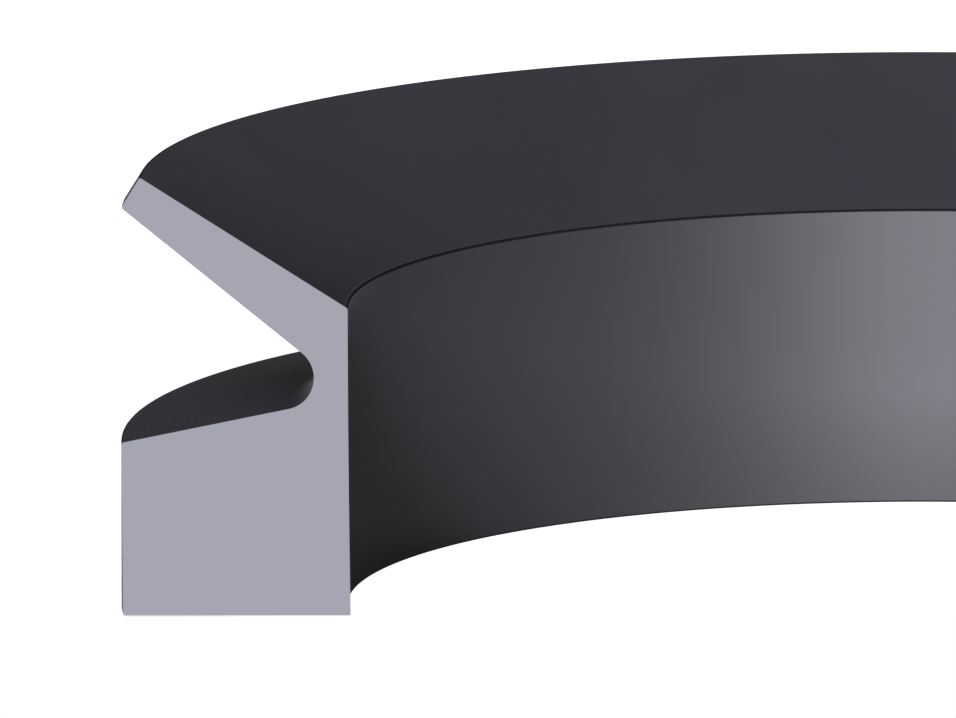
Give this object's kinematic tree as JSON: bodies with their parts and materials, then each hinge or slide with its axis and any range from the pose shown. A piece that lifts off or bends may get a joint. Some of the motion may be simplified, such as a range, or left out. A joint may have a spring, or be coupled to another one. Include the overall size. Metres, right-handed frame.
{
  "type": "v-ring",
  "caption": "All-rubber axial shaft seal: a rectangular body that grips the shaft, a hinge groove and a conical lip.",
  "frame": {"origin": "centre of the flat back face, on the shaft's axis", "axes": "+Z along the shaft's axis, from the body to the lip; the ring is round about it, so X and Y are free"},
  "size_m": [0.0286, 0.0286, 0.0076],
  "materials": {
    "rubber": "moulded nitrile rubber, satin black, with a slightly smoother bore"
  },
  "bodies": {
    "root": {"v_ring": "rubber"}
  },
  "joints": []
}
